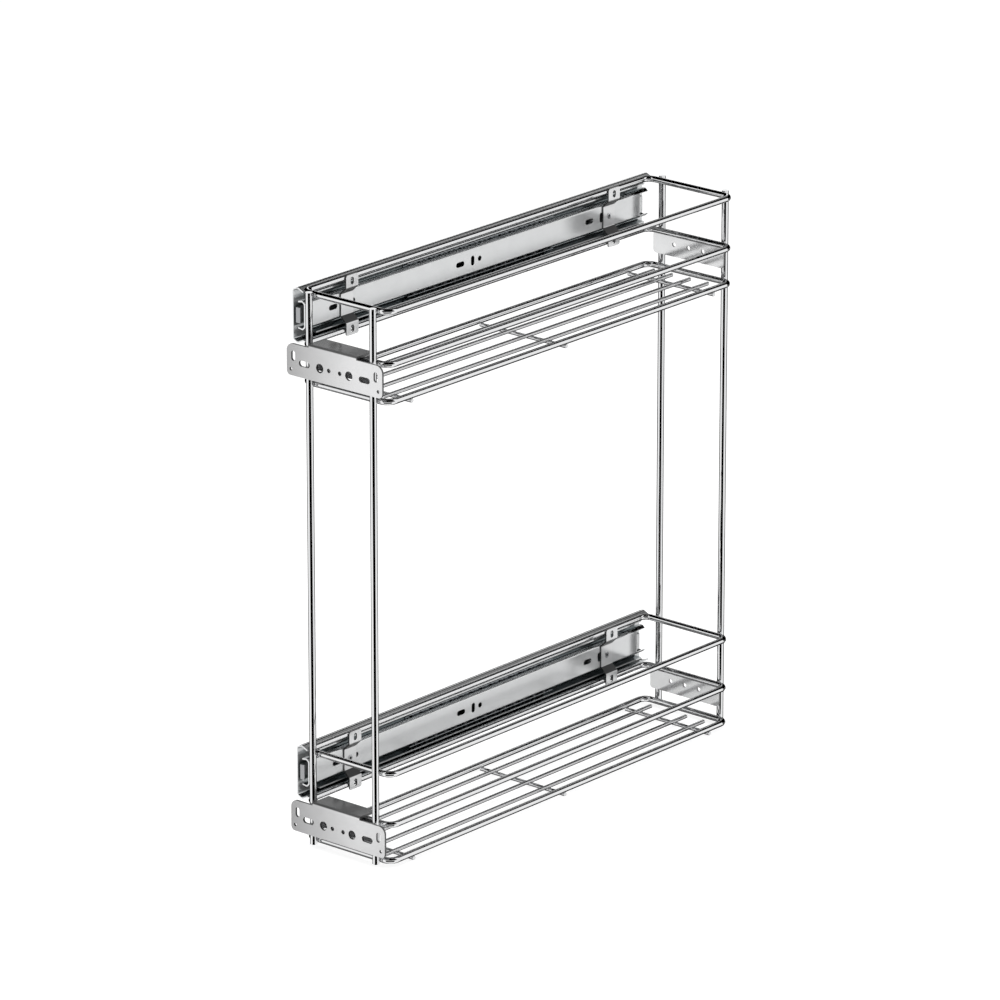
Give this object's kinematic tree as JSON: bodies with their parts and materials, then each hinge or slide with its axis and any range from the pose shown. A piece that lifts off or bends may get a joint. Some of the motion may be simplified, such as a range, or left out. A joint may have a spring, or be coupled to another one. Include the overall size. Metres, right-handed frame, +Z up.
{
  "type": "pull-out bottle rack",
  "caption": "Narrow pull-out wire bottle rack with stacked baskets on full-extension ball-bearing slides, perforated front plates for a cabinet front, and small rear plates.",
  "frame": {"origin": "Middle of the rectangle of the four cabinet screw holes, on the cabinet's side wall, where the outer rails' backs lie", "axes": "+X away from the cabinet's side wall, -Y towards the cabinet's open front, which is the way the rack pulls out, +Z up"},
  "size_m": [0.1116, 0.4647, 0.4879],
  "materials": {
    "chrome_wire": "bright chromed wire",
    "thin_wire": "bright chromed thin wire",
    "front_plate_steel": "satin nickel-plated sheet steel",
    "rear_plate_steel": "bright plated sheet steel",
    "clip_steel": "bright zinc-plated sheet steel",
    "rivet_steel": "zinc-plated tubular rivet",
    "slide_steel": "zinc-plated rolled sheet steel",
    "cage_steel": "thin plated sheet steel",
    "ball_steel": "polished bearing steel"
  },
  "bodies": {
    "outer_rails": {"upper_outer_rail": "slide_steel", "lower_outer_rail": "slide_steel"},
    "basket": {"post_front_left": "chrome_wire", "post_front_right": "chrome_wire", "post_rear_left": "chrome_wire", "post_rear_right": "chrome_wire", "upper_top_loop": "chrome_wire", "upper_middle_loop": "chrome_wire", "upper_tray_loop": "chrome_wire", "upper_cross_rod_front": "thin_wire", "upper_cross_rod_middle": "thin_wire", "upper_cross_rod_rear": "thin_wire", "upper_tray_rod_1": "thin_wire", "upper_tray_rod_2": "thin_wire", "upper_tray_rod_3": "thin_wire", "upper_tray_rod_4": "thin_wire", "upper_front_plate": "front_plate_steel", "upper_rear_plate": "rear_plate_steel", "upper_front_clip": "clip_steel", "upper_rear_clip": "clip_steel", "upper_clip_rivets": "rivet_steel", "upper_inner_rail": "slide_steel", "lower_top_loop": "chrome_wire", "lower_middle_loop": "chrome_wire", "lower_tray_loop": "chrome_wire", "lower_cross_rod_front": "thin_wire", "lower_cross_rod_middle": "thin_wire", "lower_cross_rod_rear": "thin_wire", "lower_tray_rod_1": "thin_wire", "lower_tray_rod_2": "thin_wire", "lower_tray_rod_3": "thin_wire", "lower_tray_rod_4": "thin_wire", "lower_front_plate": "front_plate_steel", "lower_rear_plate": "rear_plate_steel", "lower_front_clip": "clip_steel", "lower_rear_clip": "clip_steel", "lower_clip_rivets": "rivet_steel", "lower_inner_rail": "slide_steel"},
    "upper_middle_member": {"upper_middle_rail": "slide_steel"},
    "upper_outer_ball_cage": {"upper_outer_cage": "cage_steel", "upper_outer_balls": "ball_steel"},
    "upper_inner_ball_cage": {"upper_inner_cage": "cage_steel", "upper_inner_balls": "ball_steel"},
    "lower_middle_member": {"lower_middle_rail": "slide_steel"},
    "lower_outer_ball_cage": {"lower_outer_cage": "cage_steel", "lower_outer_balls": "ball_steel"},
    "lower_inner_ball_cage": {"lower_inner_cage": "cage_steel", "lower_inner_balls": "ball_steel"}
  },
  "joints": [
    {"name": "basket_slide", "type": "slide", "parent": "outer_rails", "child": "basket", "axis": [0, -1, 0], "range_m": [0, 0.45]},
    {"name": "upper_middle_member_slide", "type": "slide", "parent": "outer_rails", "child": "upper_middle_member", "axis": [0, -1, 0], "range_m": [0, 0.225]},
    {"name": "upper_outer_ball_cage_slide", "type": "slide", "parent": "outer_rails", "child": "upper_outer_ball_cage", "axis": [0, -1, 0], "range_m": [0, 0.1125]},
    {"name": "upper_inner_ball_cage_slide", "type": "slide", "parent": "outer_rails", "child": "upper_inner_ball_cage", "axis": [0, -1, 0], "range_m": [0, 0.3375]},
    {"name": "lower_middle_member_slide", "type": "slide", "parent": "outer_rails", "child": "lower_middle_member", "axis": [0, -1, 0], "range_m": [0, 0.225]},
    {"name": "lower_outer_ball_cage_slide", "type": "slide", "parent": "outer_rails", "child": "lower_outer_ball_cage", "axis": [0, -1, 0], "range_m": [0, 0.1125]},
    {"name": "lower_inner_ball_cage_slide", "type": "slide", "parent": "outer_rails", "child": "lower_inner_ball_cage", "axis": [0, -1, 0], "range_m": [0, 0.3375]}
  ],
  "couplings": [
    {"joint": "upper_middle_member_slide", "follows": "basket_slide", "ratio": 0.5},
    {"joint": "upper_outer_ball_cage_slide", "follows": "basket_slide", "ratio": 0.25},
    {"joint": "upper_inner_ball_cage_slide", "follows": "basket_slide", "ratio": 0.75},
    {"joint": "lower_middle_member_slide", "follows": "basket_slide", "ratio": 0.5},
    {"joint": "lower_outer_ball_cage_slide", "follows": "basket_slide", "ratio": 0.25},
    {"joint": "lower_inner_ball_cage_slide", "follows": "basket_slide", "ratio": 0.75}
  ]
}
